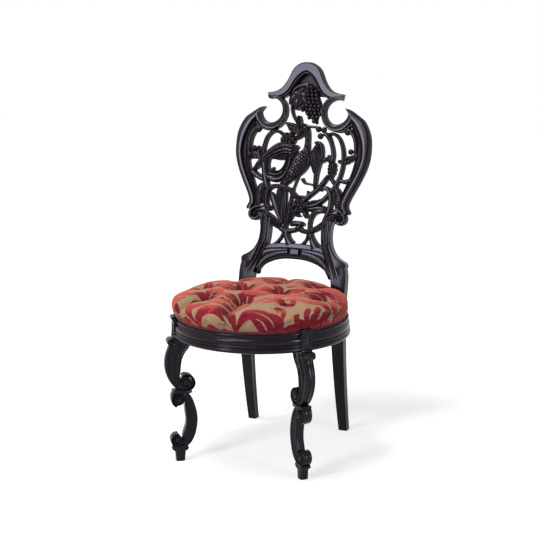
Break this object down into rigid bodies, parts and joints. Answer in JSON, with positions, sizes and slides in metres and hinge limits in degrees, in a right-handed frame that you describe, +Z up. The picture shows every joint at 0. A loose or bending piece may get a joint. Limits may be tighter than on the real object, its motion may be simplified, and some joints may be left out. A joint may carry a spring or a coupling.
{
  "type": "slipper chair",
  "caption": "Armless slipper chair with a carved, pierced back, scroll front legs, sabre rear legs and a round, tufted damask seat.",
  "frame": {"origin": "on the floor, under the middle of the chair's box", "axes": "+Z up, +X to the sitter's left (the viewer's right from the front), -Y the way the chair faces"},
  "size_m": [0.468, 0.5827, 1.0218],
  "materials": {
    "ebonised_wood": "dark, ebonised, satin polish",
    "beech": "unfinished, planed",
    "damask": "cut velvet damask, crimson on a tan ground",
    "welt_cloth": "dark crimson piping",
    "canvas": "plain jute weave",
    "horsehair": "curled fibre",
    "spring_steel": "drawn wire",
    "black_cloth": "thin black cambric"
  },
  "bodies": {
    "root": {"crest_rail": "ebonised_wood", "back_hoop_left": "ebonised_wood", "back_hoop_right": "ebonised_wood", "pierced_splat": "ebonised_wood", "lower_back_rail": "ebonised_wood", "rear_leg_left": "ebonised_wood", "rear_leg_right": "ebonised_wood", "front_leg_left": "ebonised_wood", "front_leg_right": "ebonised_wood", "seat_rail_front": "ebonised_wood", "seat_rail_left": "ebonised_wood", "seat_rail_right": "ebonised_wood", "seat_rail_rear": "ebonised_wood", "corner_block_front_left": "beech", "corner_block_front_right": "beech", "corner_block_rear_left": "beech", "corner_block_rear_right": "beech", "crest_dowel_left": "beech", "crest_dowel_right": "beech", "stile_dowel_left": "beech", "stile_dowel_right": "beech", "webbing_cross_1": "canvas", "webbing_cross_2": "canvas", "webbing_cross_3": "canvas", "webbing_long_1": "canvas", "webbing_long_2": "canvas", "webbing_long_3": "canvas", "seat_spring_1": "spring_steel", "seat_spring_2": "spring_steel", "seat_spring_3": "spring_steel", "seat_spring_4": "spring_steel", "seat_spring_5": "spring_steel", "hessian": "canvas", "stuffing": "horsehair", "seat_cover": "damask", "seat_welt": "welt_cloth", "tuft_button_1": "damask", "tuft_button_2": "damask", "tuft_button_3": "damask", "tuft_button_4": "damask", "tuft_button_5": "damask", "tuft_button_6": "damask", "tuft_button_7": "damask", "tuft_button_8": "damask", "tuft_button_9": "damask", "tuft_button_10": "damask", "dust_cover": "black_cloth"}
  },
  "joints": []
}
